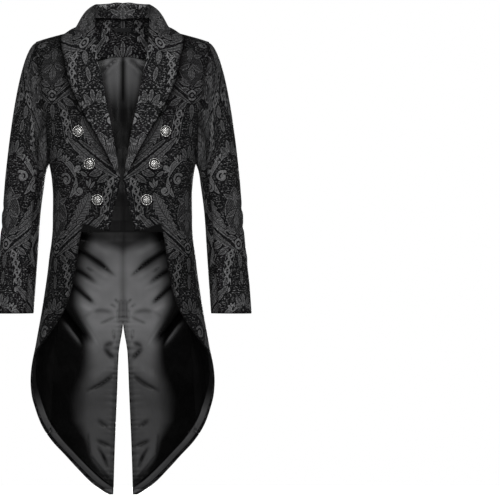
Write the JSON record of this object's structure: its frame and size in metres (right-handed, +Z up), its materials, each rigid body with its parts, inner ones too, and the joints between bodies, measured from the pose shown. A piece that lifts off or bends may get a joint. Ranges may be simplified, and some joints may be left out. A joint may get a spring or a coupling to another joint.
{
  "type": "steampunk tailcoat",
  "caption": "Hollow worn-shape tailcoat in black brocade with a shawl collar, double-breasted cutaway front, half belt and long tails with an open vent.",
  "frame": {"origin": "middle of the neck opening, level with the shoulder line, where the wearer's shoulders hold the coat", "axes": "+Z up along the wearer, +X to the wearer's left, -Y to the front of the coat"},
  "size_m": [0.61, 0.2787, 1.1659],
  "materials": {
    "brocade": "black figured brocade, dull ground with a slightly lustrous motif",
    "satin": "charcoal satin lining with a soft sheen",
    "velvet": "deep black velvet",
    "label": "blank black woven label",
    "button_metal": "antiqued silver with dark recesses"
  },
  "bodies": {
    "root": {"back_left": "brocade", "back_lining_left": "satin", "back_lining_right": "satin", "back_right": "brocade", "belt_button_left": "button_metal", "belt_button_right": "button_metal", "collar_left": "brocade", "collar_right": "brocade", "collar_stand": "brocade", "cuff_button_left_1": "button_metal", "cuff_button_left_2": "button_metal", "cuff_button_left_3": "button_metal", "cuff_button_right_1": "button_metal", "cuff_button_right_2": "button_metal", "cuff_button_right_3": "button_metal", "front_button_left_1": "button_metal", "front_button_left_2": "button_metal", "front_button_left_3": "button_metal", "front_button_right_1": "button_metal", "front_button_right_2": "button_metal", "front_button_right_3": "button_metal", "front_left": "brocade", "front_lining_left": "satin", "front_lining_right": "satin", "front_right": "brocade", "half_belt": "velvet", "hem_facing_left": "brocade", "hem_facing_right": "brocade", "neck_facing": "brocade", "neck_label": "label", "side_left": "brocade", "side_lining_left": "satin", "side_lining_right": "satin", "side_right": "brocade", "tail_lining_left": "satin", "tail_lining_right": "satin", "under_sleeve_left": "brocade", "under_sleeve_right": "brocade", "upper_sleeve_left": "brocade", "upper_sleeve_right": "brocade"}
  },
  "joints": []
}
